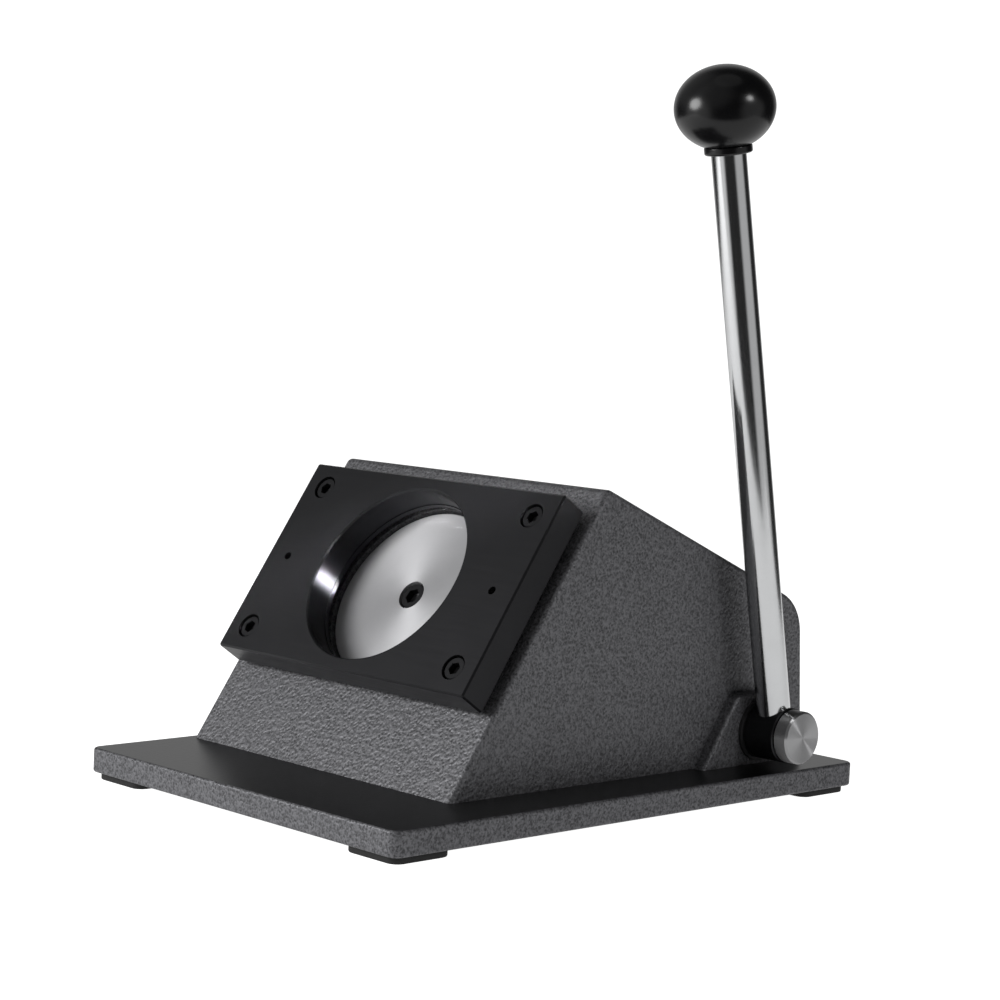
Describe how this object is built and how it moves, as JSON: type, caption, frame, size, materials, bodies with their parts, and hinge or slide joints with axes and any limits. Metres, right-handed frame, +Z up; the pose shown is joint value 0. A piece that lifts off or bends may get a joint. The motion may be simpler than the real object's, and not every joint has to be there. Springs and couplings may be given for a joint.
{
  "type": "hand lever round die cutter",
  "caption": "Desktop punch that cuts round blanks from sheet: a sloping steel housing on a base plate, with a die plate, a sprung punch and a side lever.",
  "frame": {"origin": "on the surface that the feet stand on, below the middle of the overall box", "axes": "+Z up, +X towards the lever side, -Y towards the user and the sloping die face"},
  "size_m": [0.1661, 0.223, 0.2535],
  "materials": {
    "hammertone_paint": "dark grey hammertone stove enamel, semi-gloss with a fine dimpled texture",
    "foot_rubber": "matt moulded rubber",
    "plain_steel": "machined mild steel, lightly oiled",
    "ground_steel": "hardened and ground steel",
    "turned_steel": "bright turned steel with fine circular tool marks",
    "blackened_steel": "chemically blackened steel, satin",
    "black_screws": "blackened alloy steel",
    "spring_steel": "drawn spring wire",
    "bronze": "sintered bronze",
    "black_nylon": "moulded nylon",
    "chrome_plate": "bright nickel-chrome plate",
    "knob_plastic": "polished black phenolic",
    "brass_insert": "turned brass"
  },
  "bodies": {
    "frame": {"base_plate": "hammertone_paint", "housing_shell": "hammertone_paint", "bearing_boss": "hammertone_paint", "rubber_feet": "foot_rubber", "mounting_blocks": "plain_steel", "base_screws": "black_screws", "die_plate": "blackened_steel", "die_plate_screws": "black_screws", "die_spacer_washers": "plain_steel", "die_dowel_pins": "ground_steel", "punch_guide_plate": "plain_steel", "guide_rods": "ground_steel", "rod_stop_collars": "plain_steel", "return_springs": "spring_steel", "right_bearing_bush": "bronze", "left_bearing_block": "plain_steel", "left_bearing_bush": "bronze", "thrust_washer": "black_nylon"},
    "lever": {"pivot_shaft": "turned_steel", "lift_cam": "ground_steel", "cam_key": "plain_steel", "shaft_set_collar": "plain_steel", "grub_screws": "black_screws", "lever_hub": "blackened_steel", "lever_rod": "chrome_plate", "ball_knob": "knob_plastic", "knob_insert": "brass_insert"},
    "ram": {"punch": "turned_steel", "punch_screw": "black_screws", "ram_post": "plain_steel", "ram_post_screw": "black_screws", "crosshead": "plain_steel", "crosshead_bushes": "bronze", "wear_pad": "ground_steel", "wear_pad_screws": "black_screws"}
  },
  "joints": [
    {"name": "lever_pull", "type": "hinge", "parent": "frame", "child": "lever", "pos_m": [0, 0.0765, 0.0232], "axis": [1, 0, 0], "range_deg": [0, 63]},
    {"name": "ram_slide", "type": "slide", "parent": "frame", "child": "ram", "axis": [0, -0.831, 0.5563], "range_m": [0, 0.014], "stiffness_N_per_m": 2400, "springref_m": -0.012, "deforming": ["return_springs"]}
  ],
  "couplings": [
    {"joint": "ram_slide", "follows": "lever_pull", "m_per_rad": 0.01273}
  ]
}
